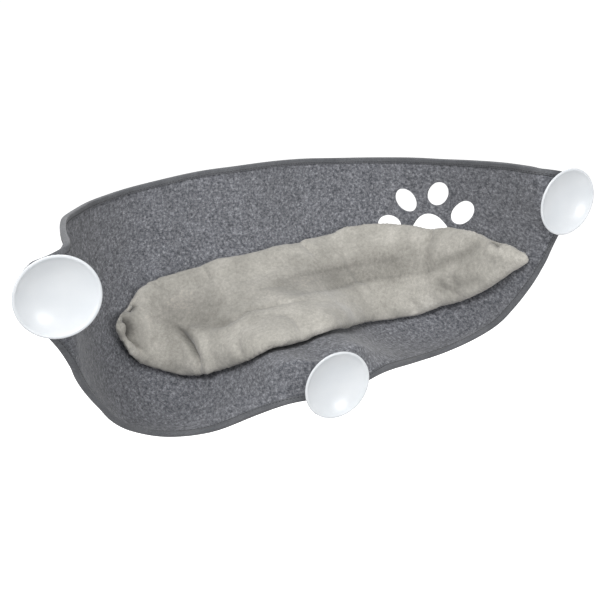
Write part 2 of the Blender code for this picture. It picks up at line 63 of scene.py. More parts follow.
press_flat = 0.0235
press_free = 0.045
sag_outward_share = 0.45
sag_floor_share = 0.8
corner_rounds = 24
tabs_from = 9.5
long_wave, short_wave = 0.0016, 0.0011
calm_length = 0.05
paw_cut_depth = 0.05
stud_hole_radius = 0.0053
stud_hole_depth = 0.012
stud_places = {
    "left": (-half_span, 0.0),
    "right": (half_span, 0.0),
    "lower": (lower_cup_shift, -cup_drop),
}

edge_shares = (
    (0.000, 0.000, -1.000), (0.149, 0.000, -0.973), (0.284, 0.058, -0.978), (0.447, 0.145, -1.042),
    (0.616, 0.204, -1.077), (0.751, 0.182, -1.016), (0.839, 0.123, -0.897), (0.896, 0.079, -0.757),
    (0.931, 0.050, -0.649), (0.957, 0.027, -0.554),
)
floor_shares = (
    (0.000, 0.000, -0.692), (0.149, 0.072, -0.692), (0.284, 0.291, -0.887), (0.447, 0.495, -1.125),
    (0.622, 0.525, -1.190), (0.771, 0.408, -1.146), (0.853, 0.276, -0.973), (0.907, 0.189, -0.735),
    (0.934, 0.131, -0.562), (0.947, 0.072, -0.389),
)
wall_shares = (
    (0.000, 0.992, -1.341), (0.149, 0.992, -1.341), (0.311, 1.006, -1.254), (0.487, 0.977, -1.081),
    (0.663, 0.875, -0.952), (0.798, 0.700, -0.822), (0.880, 0.525, -0.606), (0.913, 0.349, -0.389),
    (0.927, 0.218, -0.216), (0.934, 0.087, -0.043),
)
rim_shares = (
    (0.000, 0.970, 1.00), (0.162, 0.992, 0.94), (0.352, 0.999, 0.79), (0.528, 0.970, 0.64),
    (0.677, 0.853, 0.67), (0.785, 0.707, 0.76), (0.848, 0.576, 0.85), (0.886, 0.401, 1.06),
    (0.913, 0.218, 1.26), (0.928, 0.072, 1.36),
)
tab_edge_shares = (
    (-0.21, 0.07, -2.62), (0.04, 0.00, -1.87), (0.36, 0.00, -1.35), (0.66, 0.00, -0.93), (0.93, 0.00, -0.47),
)
tab_rim_shares = (
    (-0.39, 0.19, 1.05), (-0.04, 0.00, 1.00), (0.36, 0.00, 0.93), (0.66, 0.00, 0.75), (0.93, 0.00, 0.39),
)
tab_lip_shares = (0.15, 0.24, 0.33, 0.40, 0.42)
shift_shares = (1.0, 1.0, 0.6, 0.3, 0.0, 0.0, 0.0, 0.0, 0.0, 0.0)
sag_shares = (0.0, 0.08, 0.60, 1.0, 0.80, 0.39, 0.14, 0.0, 0.0, 0.0)
lip_shares = (1.0, 1.0, 0.70, 0.55, 0.50, 0.50, 0.50, 0.45, 0.40, 0.35)


def rows_of_felt():
    """Rows of five points (edge, lip, floor, wall, rim) across the panel, from the left tab to the right."""
    def with_lip(row, share):
        run = row[1] - row[0]
        return np.insert(row, 1, row[0] + run / np.linalg.norm(run) * lip_length * share, axis=0)

    half = []
    for index in range(10):
        row = []
        for table, height in ((edge_shares, edge_drop), (floor_shares, edge_drop),
                              (wall_shares, edge_drop), (rim_shares, rim_rise)):
            x, y, z = table[index]
            row.append((x * half_span, felt_plane + y * pouch_reach, z * height))
        half.append(np.array(row))
    left = [row * (-1.0, 1.0, 1.0) for row in half]
    for index in range(10):
        drop = left_sag * sag_shares[index] * np.array((0.0, sag_outward_share, -1.0))
        left[index][0] += drop
        left[index][1] += drop * sag_floor_share
        for side in (half, left):
            side[index][0][0] += lower_cup_shift * shift_shares[index]
            side[index][1][0] += lower_cup_shift * shift_shares[index]
    half = [with_lip(row, share) for row, share in zip(half, lip_shares)]
    left = [with_lip(row, share) for row, share in zip(left, lip_shares)]
    for low, high, share in zip(tab_edge_shares, tab_rim_shares, tab_lip_shares):
        stud = np.array((half_span, felt_plane, 0.0))
        start = stud + tab_radius * np.array(low)
        end = stud + tab_radius * np.array(high)
        lip = start + (end - start) * share
        row = np.array([start, lip, lip + (end - lip) / 3, end - (end - lip) / 3, end])
        half.append(row)
        left.append(row * (-1.0, 1.0, 1.0))
    return np.array(left[:0:-1] + half)


felt_rows = rows_of_felt()


def felt_point(place, along):
    """Point of the felt's middle surface: place counts rows from the middle, along runs -1 edge, 0 lip, 1 rim."""
    last = len(felt_rows) - 1
    at = min(max(place + last // 2, 0), last)
    low = min(int(math.floor(at)), last - 1)
    part = at - low
    before, here, after, beyond = (felt_rows[min(max(low + step, 0), last)] for step in (-1, 0, 1, 2))
    row = 0.5 * (2 * here + (after - before) * part
                 + (2 * before - 5 * here + 4 * after - beyond) * part ** 2
                 + (3 * here - before - 3 * after + beyond) * part ** 3)
    if along <= 0:
        point = row[1] + (row[0] - row[1]) * -along
    else:
        rest = 1 - along
        point = (rest ** 3 * row[1] + 3 * along * rest ** 2 * row[2]
                 + 3 * along ** 2 * rest * row[3] + along ** 3 * row[4])
    for x, z in stud_places.values():
        away = math.dist(point, (x, felt_plane, z))
        free = min(max((away - press_flat) / (press_free - press_flat), 0.0), 1.0)
        free = free * free * (3 - 2 * free)
        point[1] = felt_plane + (point[1] - felt_plane) * free
    return point


def eased(points, rounds=1):
    """Closed ring of points, each drawn halfway to the middle of its two neighbours, rounds times over."""
    for _ in range(rounds):
        points = points * 0.5 + (np.roll(points, 1, 0) + np.roll(points, -1, 0)) * 0.25
    return points


felt_places = np.concatenate([
    np.linspace(-14, -8, 36, endpoint=False),
    np.linspace(-8, 8, 208, endpoint=False),
    np.linspace(8, 14, 37),
])
felt_alongs = np.concatenate([np.linspace(-1, 0, 7)[:-1], np.linspace(0, 1, 54)])
felt_grid = np.array([[felt_point(place, along) for along in felt_alongs] for place in felt_places])
columns, steps = felt_grid.shape[:2]

# The outline's corners are cut round, so the edge is eased along its own length.
outline = ([(column, 0) for column in range(columns)] + [(columns - 1, step) for step in range(1, steps - 1)]
           + [(column, steps - 1) for column in range(columns - 1, -1, -1)]
           + [(0, step) for step in range(steps - 2, 0, -1)])
for _ in range(corner_rounds):
    for spot, point in zip(outline, eased(np.array([felt_grid[spot] for spot in outline]))):
        if abs(felt_places[spot[0]]) > tabs_from:
            felt_grid[spot] = point

# Soft waves in the wall, and puckers where the felt is drawn to a stud
for column, place in enumerate(felt_places):
    for step, along in enumerate(felt_alongs):
        spot = felt_grid[column, step]
        fade = min(max(along, 0.0) * 4, 1.0)
        near = min(math.dist(spot, (x, felt_plane, z)) for x, z in stud_places.values())
        calm = min(max((near - press_flat) / calm_length, 0.0), 1.0)
        wave = (long_wave * math.sin(place * 2.3 + 4 * along)
                + short_wave * math.sin(place * 4.1 - 7 * along + 1.3))
        spot[1] += wave * fade * calm * (1 - 0.5 * along)

felt_mesh = bpy.data.meshes.new("felt_sheet")
faces = [(c * steps + s, (c + 1) * steps + s, (c + 1) * steps + s + 1, c * steps + s + 1)
         for c in range(columns - 1) for s in range(steps - 1)]
felt_mesh.from_pydata([tuple(point) for point in felt_grid.reshape(-1, 3)], [], faces)
felt_mesh.update()
felt_normals = np.array([tuple(vertex.normal) for vertex in felt_mesh.vertices])
felt_faces = [tuple(face.vertices) for face in felt_mesh.polygons]
felt_tree = BVHTree.FromPolygons([vertex.co for vertex in felt_mesh.vertices], felt_faces)
felt_mesh_points = felt_grid.reshape(-1, 3).copy()


def on_felt(point):
    """Nearest point of the felt's middle surface, and the smooth normal there, which faces into the pouch."""
    spot, normal, face, distance = felt_tree.find_nearest(Vector(point))
    corners = felt_faces[face]
    gaps = [felt_mesh_points[corner] - np.array(spot) for corner in corners]
    weights = np.array([1 / (1e-6 + gap.dot(gap)) for gap in gaps])
    smooth = (felt_normals[list(corners)] * weights[:, None]).sum(0)
    return np.array(spot), smooth / np.linalg.norm(smooth)


def add_object(name, data):
    """Object in the scene with this data."""
    made = bpy.data.objects.new(name, data)
    bpy.context.scene.collection.objects.link(made)
    return made


def select_only(*chosen):
    """Select these objects and no others, with the first one active."""
    bpy.ops.object.select_all(action="DESELECT")
    for thing in chosen:
        thing.select_set(True)
    bpy.context.view_layer.objects.active = chosen[0]


def rod(sides, radius, depth, middle):
    """Cylinder that runs along Y."""
    bpy.ops.mesh.primitive_cylinder_add(vertices=sides, radius=radius, depth=depth, location=middle,
                                        rotation=(math.pi / 2, 0.0, 0.0))
    return bpy.context.object


def cut_out(body, tools):
    """Join the tools into one and cut it out of the body."""
    select_only(*tools)
    bpy.ops.object.join()
    punch = bpy.context.object
    holes = body.modifiers.new("cut", "BOOLEAN")
    holes.operation = "DIFFERENCE"
    holes.solver = "EXACT"
    holes.object = punch
    select_only(body)
    bpy.ops.object.modifier_apply(modifier="cut")
    bpy.data.objects.remove(punch, do_unlink=True)


felt = add_object("felt_sheet", felt_mesh)
wall = felt.modifiers.new("thickness", "SOLIDIFY")
wall.thickness = felt_thickness
wall.offset = 0.0
select_only(felt)
bpy.ops.object.modifier_apply(modifier="thickness")

# Toes and pad: place, along, lean in degrees, length and width
toes = ((4.13, 0.809, 70.0, 0.0365, 0.0310), (4.58, 0.885, 43.0, 0.0380, 0.0292),
        (5.58, 0.892, -56.0, 0.0392, 0.0308), (6.32, 0.797, -71.0, 0.0490, 0.0294))
pad = (5.17, 0.768, 0.0, 0.050, 0.066)
pad_lobes = 0.08


def cutter_square_to_felt(place, along, lean, length, width, lobes):
    """Bar with an oval or lobed outline that stands square to the felt."""
    bpy.ops.mesh.primitive_cylinder_add(vertices=72, radius=1.0, depth=paw_cut_depth)
    bar = bpy.context.object
    for vertex in bar.data.vertices:
        around = math.atan2(vertex.co.y, vertex.co.x)
        swell = 1 - lobes * math.sin(3 * around)
        vertex.co.x *= swell * width / 2
        vertex.co.y *= swell * length / 2
    point, inward = on_felt(felt_point(place, along))
    upward = felt_point(place, along + 0.02) - felt_point(place, along - 0.02)
    inward = Vector(inward)
    sideways = Vector(upward).cross(inward).normalized()
    turn = Matrix((sideways, inward.cross(sideways), inward)).transposed().to_4x4()
    bar.matrix_world = Matrix.Translation(point) @ turn @ Matrix.Rotation(math.radians(lean), 4, "Z")
    return bar


bars = [cutter_square_to_felt(*toe, 0.0) for toe in toes]
bars.append(cutter_square_to_felt(*pad, pad_lobes))
bars += [rod(48, stud_hole_radius, stud_hole_depth, (x, felt_plane, z)) for x, z in stud_places.values()]
cut_out(felt, bars)
bpy.ops.object.shade_smooth_by_angle(angle=math.radians(40))


def new_material(name, roughness, colour):
    """Principled material and its shader."""
    made = bpy.data.materials.new(name)
    made.use_nodes = True
    shader = made.node_tree.nodes["Principled BSDF"]
    shader.inputs["Roughness"].default_value = roughness
    shader.inputs["Base Color"].default_value = (*colour, 1.0)
    return made, shader


def new_node(neighbour, kind):
    """Node in the same material as a neighbouring node or socket."""
    return neighbour.id_data.nodes.new(kind)


def plug(source, node, name):
    """Link a socket to a node's input."""
    node.id_data.links.new(source, node.inputs[name])


def object_place(shader):
    """Coordinates in the object's own frame."""
    return new_node(shader, "ShaderNodeTexCoord").outputs["Object"]


def noise(source, scale, detail, rough=0.5, stretch=(1.0, 1.0, 1.0)):
    """Noise texture on a stretched copy of the coordinates."""
    mapping = new_node(source, "ShaderNodeMapping")
    mapping.inputs["Scale"].default_value = stretch
    plug(source, mapping, "Vector")
    texture = new_node(source, "ShaderNodeTexNoise")
    texture.inputs["Scale"].default_value = scale
    texture.inputs["Detail"].default_value = detail
    texture.inputs["Roughness"].default_value = rough
    plug(mapping.outputs["Vector"], texture, "Vector")
    return texture.outputs["Fac"]


def ramp(source, stops):
    """Colour ramp through (place, colour) stops."""
    made = new_node(source, "ShaderNodeValToRGB")
    elements = made.color_ramp.elements
    while len(elements) < len(stops):
        elements.new(0.5)
    for element, (place, colour) in zip(elements, stops):
        element.position = place
        element.color = (*colour, 1.0)
    plug(source, made, "Fac")
    return made.outputs["Color"]


def overlay(share, first, second):
    """First colour with a share of the second overlaid."""
    mix = new_node(first, "ShaderNodeMix")
    mix.data_type = "RGBA"
    mix.blend_type = "OVERLAY"
    mix.inputs["Factor"].default_value = share
    plug(first, mix, "A")
    plug(second, mix, "B")
    return mix.outputs["Result"]


def bump(shader, layers):
    """Bump layers on a shader, each (height socket, strength, distance)."""
    normal = None
    for height, strength, distance in layers:
        node = new_node(shader, "ShaderNodeBump")
        node.inputs["Strength"].default_value = strength
        node.inputs["Distance"].default_value = distance
        plug(height, node, "Height")
        if normal:
            plug(normal, node, "Normal")
        normal = node.outputs["Normal"]
    plug(normal, shader, "Normal")


heather, shader = new_material("heather_felt", 0.95, (0.16, 0.17, 0.19))
place = object_place(shader)
clouds = noise(place, 60.0, 3.0, 0.55)
clumps = noise(place, 280.0, 4.0, 0.70, (1.0, 0.62, 1.0))
upright = noise(place, 620.0, 3.0, 0.65, (1.0, 1.0, 0.45))
level = noise(place, 620.0, 3.0, 0.65, (0.40, 0.40, 1.0))
tone = ramp(clumps, ((0.34, (0.068, 0.072, 0.082)), (0.48, (0.145, 0.150, 0.164)),
                     (0.58, (0.215, 0.220, 0.236)), (0.72, (0.350, 0.356, 0.372))))
patches = ramp(clouds, ((0.32, (0.44, 0.44, 0.44)), (0.68, (0.55, 0.55, 0.55))))
threads = ramp(upright, ((0.36, (0.36, 0.36, 0.37)), (0.64, (0.64, 0.64, 0.64))))
crossing = ramp(level, ((0.36, (0.36, 0.36, 0.37)), (0.64, (0.64, 0.64, 0.64))))
colour = overlay(1.0, tone, patches)
colour = overlay(0.8, colour, threads)
colour = overlay(0.8, colour, crossing)
plug(colour, shader, "Base Color")
shader.inputs["Sheen Weight"].default_value = 0.20
shader.inputs["Sheen Roughness"].default_value = 0.6
shader.inputs["Specular IOR Level"].default_value = 0.2
bump(shader, ((clumps, 0.5, 0.0007), (upright, 0.35, 0.0003), (level, 0.35, 0.0003)))
felt.data.materials.append(heather)
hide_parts("felt_panel")
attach(felt, "hammock")


# Edge binding
# A strip of dark grey tape, folded over the felt's edge to show 6.4 mm on each face, and sewn down all the way
# round with one row of lockstitches close to its inner edge.
tape_width = 0.0064
tape_thickness = 0.001
tape_gap = 0.0005
stitch_pitch = 0.0042
stitch_length = 0.0032
stitch_radius = 0.00046
stitch_sunk = 0.00028
tape_step = 0.0034

edge_points = np.array([felt_mesh_points[column * steps + step] for column, step in outline])
lengths = np.linalg.norm(np.roll(edge_points, -1, 0) - edge_points, axis=1)
stations = np.concatenate([[0.0], np.cumsum(lengths)])
edge_length = stations[-1]
ring = np.vstack([edge_points, edge_points[:1]])


def edge_at(distances):
    """Points on the felt's edge at distances round it."""
    return np.array([np.interp(distances % edge_length, stations, ring[:, axis]) for axis in range(3)]).T


tape_count = int(edge_length / tape_step)
tape_stations = np.arange(tape_count) * edge_length / tape_count
tape_edge = eased(edge_at(tape_stations), 3)
tape_run = np.roll(tape_edge, -1, 0) - np.roll(tape_edge, 1, 0)
tape_run /= np.linalg.norm(tape_run, axis=1)[:, None]
tape_normal = np.array([on_felt(point)[1] for point in tape_edge])
tape_out = eased(np.cross(tape_run, tape_normal), 6)
tape_out /= np.linalg.norm(tape_out, axis=1)[:, None]

tape_inside = felt_thickness / 2 + tape_gap
tape_outside = tape_inside + tape_thickness
# Depths in from the edge, and how far the tape lies off its flat there: a groove under the stitches, a thin end
depths = np.array([0.0, 0.0015, 0.0030, 0.0038, 0.0043, 0.0047, 0.0051, 0.0057, 0.0061, tape_width])
lifts = np.array([0.0, 0.0, 0.0, 0.0, -0.00015, -0.00045, -0.00015, 0.0, -0.0001, -0.0004])
stitch_row = 5
inner_rows = [0, 2, 5, 9]
leg_points = np.zeros((tape_count, len(depths), 3))
leg_normals = np.zeros((tape_count, len(depths), 3))
for station in range(tape_count):
    for index, depth in enumerate(depths):
        leg_points[station, index], leg_normals[station, index] = on_felt(
            tape_edge[station] - tape_out[station] * depth)
leg_normals = eased(leg_normals, 2)
leg_normals /= np.linalg.norm(leg_normals, axis=2)[:, :, None]
leg_points[:, 0] = tape_edge

fold_turns = np.linspace(math.pi / 2, -math.pi / 2, 9)[1:-1]
tape_rings = []
for station in range(tape_count):
    normal, out, edge = leg_normals[station, 0], tape_out[station], tape_edge[station]
    outer = leg_normals[station] * (tape_outside + lifts)[:, None]
    inner = leg_normals[station, inner_rows] * tape_inside
    fold = [edge + out * math.cos(turn) * (tape_gap + tape_thickness) + normal * math.sin(turn) * tape_outside
            for turn in fold_turns]
    tape_rings.append([*(leg_points[station] + outer)[::-1], *fold, *(leg_points[station] - outer),
                       *(leg_points[station, inner_rows] - inner)[::-1], edge + out * tape_gap,
                       *(leg_points[station, inner_rows] + inner)])

shape = bmesh.new()
rings = [[shape.verts.new(point) for point in ring_points] for ring_points in tape_rings]
across = len(rings[0])
profile = np.array(tape_rings[0])
profile_run = np.concatenate([[0.0], np.cumsum(np.linalg.norm(np.roll(profile, -1, 0) - profile, axis=1))])
uv_layer = shape.loops.layers.uv.new("along_tape")
for station in range(tape_count):
    here, following = rings[station], rings[(station + 1) % tape_count]
    starts = station * edge_length / tape_count
    ends = (station + 1) * edge_length / tape_count
    for index in range(across):
        beyond = (index + 1) % across
        face = shape.faces.new((here[index], following[index], following[beyond], here[beyond]))
        places = ((starts, profile_run[index]), (ends, profile_run[index]),
                  (ends, profile_run[index + 1]), (starts, profile_run[index + 1]))
        for loop, uv in zip(face.loops, places):
            loop[uv_layer].uv = uv
        face.smooth = True
bmesh.ops.recalc_face_normals(shape, faces=shape.faces)
tape_mesh = bpy.data.meshes.new("edge_tape")
shape.to_mesh(tape_mesh)
shape.free()
tape = add_object("edge_tape", tape_mesh)

tape_look, shader = new_material("grey_tape", 0.9, (0.09, 0.095, 0.105))
along_tape = new_node(shader, "ShaderNodeUVMap")
along_tape.uv_map = "along_tape"
weave = new_node(shader, "ShaderNodeTexWave")
weave.wave_type = "BANDS"
weave.bands_direction = "DIAGONAL"
weave.inputs["Scale"].default_value = 330.0
weave.inputs["Distortion"].default_value = 1.5
weave.inputs["Detail"].default_value = 2.0
plug(along_tape.outputs["UV"], weave, "Vector")
place = object_place(shader)
fuzz = noise(place, 500.0, 3.0, 0.7)
patches = noise(place, 40.0, 2.0)
tone = ramp(patches, ((0.3, (0.100, 0.104, 0.113)), (0.7, (0.138, 0.142, 0.152))))
threads = ramp(weave.outputs["Fac"], ((0.2, (0.38, 0.38, 0.38)), (0.8, (0.60, 0.60, 0.60))))
specks = ramp(fuzz, ((0.3, (0.38, 0.38, 0.38)), (0.7, (0.66, 0.66, 0.66))))
colour = overlay(0.8, tone, threads)
colour = overlay(0.8, colour, specks)
plug(colour, shader, "Base Color")
shader.inputs["Sheen Weight"].default_value = 0.2
shader.inputs["Specular IOR Level"].default_value = 0.25
bump(shader, ((weave.outputs["Fac"], 0.5, 0.0002), (fuzz, 0.4, 0.0002)))
tape_mesh.materials.append(tape_look)
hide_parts("edge_binding")
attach(tape, "hammock")

stitch_count = int(edge_length / stitch_pitch)
bpy.ops.mesh.primitive_uv_sphere_add(segments=6, ring_count=5, radius=1.0)
bead = bpy.context.object
bead_points = np.array([tuple(vertex.co) for vertex in bead.data.vertices])
bead_faces = [tuple(face.vertices) for face in bead.data.polygons]
bpy.data.objects.remove(bead, do_unlink=True)
stitch_points, stitch_faces = [], []
for number in range(stitch_count):
    spot = number * tape_count / stitch_count
    station = int(spot)
    part = spot - station
    low, high = station % tape_count, (station + 1) % tape_count
    base = leg_points[low, stitch_row] * (1 - part) + leg_points[high, stitch_row] * part
    normal = leg_normals[low, stitch_row] * (1 - part) + leg_normals[high, stitch_row] * part
    run = leg_points[high, stitch_row] - leg_points[low, stitch_row]
    run /= np.linalg.norm(run)
    normal /= np.linalg.norm(normal)
    side = np.cross(normal, run)
    for face_side in (1.0, -1.0):
        middle = base + normal * face_side * (tape_outside - stitch_sunk)
        first = len(stitch_points)
        for point in bead_points:
            shaped = (middle + run * point[0] * stitch_length / 2 + side * point[1] * stitch_radius
                      + normal * face_side * point[2] * stitch_radius)
            stitch_points.append(tuple(shaped))
        order = 1 if face_side > 0 else -1
        stitch_faces += [tuple(first + corner for corner in face)[::order] for face in bead_faces]
stitch_mesh = bpy.data.meshes.new("binding_stitches")
stitch_mesh.from_pydata(stitch_points, [], stitch_faces)
stitch_mesh.polygons.foreach_set("use_smooth", [True] * len(stitch_faces))
stitch_mesh.update()
stitches = add_object("binding_stitches", stitch_mesh)
thread, shader = new_material("dark_thread", 0.7, (0.03, 0.032, 0.036))
place = object_place(shader)
ply = noise(place, 1800.0, 2.0, 0.6)
plug(ramp(ply, ((0.3, (0.020, 0.021, 0.024)), (0.7, (0.050, 0.052, 0.058)))), shader, "Base Color")
bump(shader, ((ply, 0.4, 0.0001),))
stitch_mesh.materials.append(thread)
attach(stitches, "hammock")


# Plush mat
# A loose, soft-filled mat of short taupe plush, two layers sewn together round the edge. It lies in the bottom of
# the pouch with its far part up against the wall, and is rumpled at the left end where it turns up.
mat_loft = 0.034
mat_gap = 0.0015
mat_base = felt_thickness / 2 + mat_gap
seam_height_share = 0.20
turned_up_end = 0.010
turned_up_from = -3.75
turned_up_run = 0.7
left_thinning, right_thinning = 0.55, 0.70
skin_step = 0.004
seam_reach = 0.0045
cloth_frames = 20
most_puff = 0.006
slow_ripple, quick_ripple = 0.0022, 0.0009
seam_band = 0.012
seam_tuck, seam_pucker = 0.0016, 0.0007
tuck_width, pucker_width = 0.0024, 0.005
stroke_margin = 0.008
fold_margin, crest_margin = 0.004, 0.016
steep_side, gentle_side = 0.70, 1.25
near_edge = (
    (-4.62, 0.640), (-4.56, 0.605), (-4.42, 0.556), (-4.20, 0.511), (-3.92, 0.474), (-3.45, 0.432), (-3.10, 0.389),
    (-2.56, 0.334), (-1.95, 0.280), (-1.44, 0.246), (-1.00, 0.250), (-0.62, 0.276), (-0.05, 0.318), (0.48, 0.325),
    (0.80, 0.300), (1.30, 0.305), (1.85, 0.325), (2.70, 0.358), (3.30, 0.356), (3.78, 0.349), (4.27, 0.352),
    (5.05, 0.393), (5.82, 0.360), (6.41, 0.326), (6.87, 0.289), (7.50, 0.233), (8.26, 0.156), (8.74, 0.112),
    (8.95, 0.100), (9.06, 0.114),
)
far_edge = (
    (-4.62, 0.664), (-4.56, 0.674), (-4.42, 0.688), (-4.20, 0.700), (-3.94, 0.708), (-3.65, 0.727), (-3.40, 0.760),
    (-3.10, 0.771), (-2.78, 0.780), (-2.42, 0.793), (-1.99, 0.799), (-1.51, 0.804), (-1.34, 0.813), (-0.82, 0.815),
    (-0.18, 0.817), (0.77, 0.821), (1.38, 0.818), (1.54, 0.823), (1.95, 0.825), (2.50, 0.819), (2.85, 0.829),
    (3.54, 0.829), (4.50, 0.816), (4.85, 0.807), (5.08, 0.795), (5.24, 0.776), (5.42, 0.780), (5.78, 0.768),
    (6.18, 0.748), (6.55, 0.712), (6.96, 0.660), (7.23, 0.603), (7.97, 0.500), (8.60, 0.345), (8.86, 0.262),
    (9.00, 0.212), (9.06, 0.182),
)


def ease_inside(values, rounds):
    """Ease a line of values in place, rounds times over, with its two ends held."""
    for _ in range(rounds):
        values[1:-1] = values[1:-1] * 0.5 + (values[2:] + values[:-2]) * 0.25


mat_columns, mat_rows = 141, 41
mat_turns = np.linspace(0.0, 1.0, mat_columns)
mat_turns = mat_turns * 0.55 + (1 - np.cos(math.pi * mat_turns)) / 2 * 0.45
column_places = near_edge[0][0] + (near_edge[-1][0] - near_edge[0][0]) * mat_turns
near_shares = np.interp(column_places, *zip(*near_edge))
far_shares = np.interp(column_places, *zip(*far_edge))
ease_inside(near_shares, 2)
ease_inside(far_shares, 2)

lower, upper = [], []
for column, place in enumerate(column_places):
    along = 2 * column / (mat_columns - 1) - 1
    spread = 2 * mat_turns[column] - 1
    taper = 1 - (left_thinning * spread ** 4 if spread < 0 else right_thinning * spread ** 2.4)
    loft = mat_loft * taper * math.sqrt(1.0001 - abs(along) ** 14)
    turned_up = turned_up_end * min(max((turned_up_from - place) / turned_up_run, 0.0), 1.0) ** 1.5
    low_row, high_row = [], []
    for row in range(mat_rows):
        across = math.sin(math.pi / 2 * (2 * row / (mat_rows - 1) - 1))
        share = near_shares[column] + (far_shares[column] - near_shares[column]) * (across + 1) / 2
        spot, normal = on_felt(felt_point(place, share))
        plump = math.sqrt(max(1 - abs(across) ** 2.6, 0.0))
        lift = mat_base + turned_up + loft * seam_height_share * (1 - plump)
        low_row.append(spot + normal * lift)
        high_row.append(spot + normal * (lift + loft * plump))
    lower.append(low_row)
    upper.append(high_row)
mat_grid = np.array(upper)
seam_line = np.concatenate([mat_grid[:, 0], mat_grid[-1, :], mat_grid[::-1, -1], mat_grid[0, ::-1]])

shape = bmesh.new()
mat_rings = [[shape.verts.new(point) for point in low + high[-2:0:-1]] for low, high in zip(lower, upper)]
for ring_verts, following in zip(mat_rings, mat_rings[1:]):
    count = len(ring_verts)
    for index in range(count):
        beyond = (index + 1) % count
        shape.faces.new((ring_verts[index], following[index], following[beyond], ring_verts[beyond]))
shape.faces.new(list(reversed(mat_rings[0])))
shape.faces.new(mat_rings[-1])
bmesh.ops.recalc_face_normals(shape, faces=shape.faces)
mat_mesh = bpy.data.meshes.new("plush_mat")
shape.to_mesh(mat_mesh)
shape.free()
mat = add_object("plush_mat", mat_mesh)
select_only(mat)
remesh = mat.modifiers.new("even skin", "REMESH")
remesh.mode = "VOXEL"
remesh.voxel_size = skin_step
bpy.ops.object.modifier_apply(modifier="even skin")


def mat_points():
    """Points of the mat's skin."""
    found = np.empty(len(mat.data.vertices) * 3)
    mat.data.vertices.foreach_get("co", found)
    return found.reshape(-1, 3)


def set_mat_points(changed):
    """Move the points of the mat's skin."""
    mat.data.vertices.foreach_set("co", changed.reshape(-1))
    mat.data.update()


seam_finder = KDTree(len(seam_line))
for index, point in enumerate(seam_line):
    seam_finder.insert(Vector(point), index)
seam_finder.balance()

before = mat_points()
seam_group = mat.vertex_groups.new(name="seam")
sewn = [index for index, point in enumerate(before) if seam_finder.find(point)[2] < seam_reach]
seam_group.add(sewn, 1.0, "REPLACE")
puff = mat.modifiers.new("filling", "CLOTH")
cloth = puff.settings
cloth.quality = 6
cloth.mass = 0.3
cloth.use_pressure = True
cloth.uniform_pressure_force = 4.0
cloth.effector_weights.gravity = 0.0
cloth.vertex_group_mass = "seam"
cloth.tension_stiffness = 8.0
cloth.compression_stiffness = 8.0
cloth.bending_stiffness = 0.4
puff.collision_settings.use_self_collision = False
puff.point_cache.frame_start = 1
puff.point_cache.frame_end = cloth_frames
for frame_number in range(1, cloth_frames + 1):
    bpy.context.scene.frame_set(frame_number)
bpy.ops.object.modifier_apply(modifier="filling")
bpy.context.scene.frame_set(1)
mat.vertex_groups.clear()
moved = mat_points() - before
far_moved = np.linalg.norm(moved, axis=1)
moved *= (np.minimum(far_moved, most_puff) / np.maximum(far_moved, 1e-9))[:, None]
set_mat_points(before + moved)
finer = mat.modifiers.new("finer skin", "SUBSURF")
finer.levels = finer.render_levels = 1
bpy.ops.object.modifier_apply(modifier="finer skin")


def mat_top(place, share):
    """Point on the mat's smooth top at a place along the panel and a share across it."""
    column = float(np.interp(place, column_places, range(mat_columns)))
    c = min(int(column), mat_columns - 2)
    u = column - c
    near = near_shares[c] * (1 - u) + near_shares[c + 1] * u
    far = far_shares[c] * (1 - u) + far_shares[c + 1] * u
    across = min(max(2 * (share - near) / (far - near) - 1, -1.0), 1.0)
    row = (math.asin(across) / (math.pi / 2) + 1) / 2 * (mat_rows - 1)
    r = min(int(row), mat_rows - 2)
    v = row - r
    return ((mat_grid[c, r] * (1 - u) + mat_grid[c + 1, r] * u) * (1 - v)
            + (mat_grid[c, r + 1] * (1 - u) + mat_grid[c + 1, r + 1] * u) * v)


